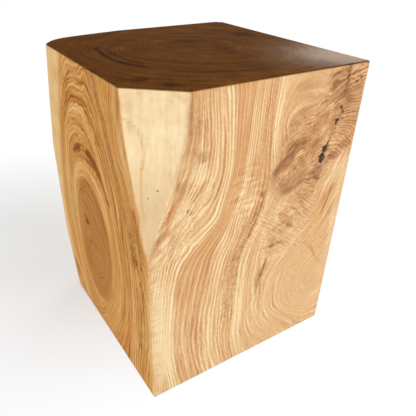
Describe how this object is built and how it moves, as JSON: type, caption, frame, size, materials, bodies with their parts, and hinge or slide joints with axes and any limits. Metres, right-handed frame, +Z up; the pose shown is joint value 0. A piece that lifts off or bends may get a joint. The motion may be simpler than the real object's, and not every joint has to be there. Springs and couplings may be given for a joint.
{
  "type": "solid wood block stool",
  "caption": "Solid square-sawn hardwood block that stands on its end grain as a low stool or side table, with natural waney corners.",
  "frame": {"origin": "centre of the block's width and depth, on the surface that it stands on", "axes": "+Z up along the grain; -Y out of the front face, which has the open flaws; -X out of the left face, which meets the front face at the waney near corner"},
  "size_m": [0.296, 0.302, 0.4],
  "materials": {
    "oiled_hardwood": "satin oil over figured honey-brown hardwood, cream sapwood at the waney corners, dark end grain on top"
  },
  "bodies": {
    "root": {"wood_block": "oiled_hardwood"}
  },
  "joints": []
}
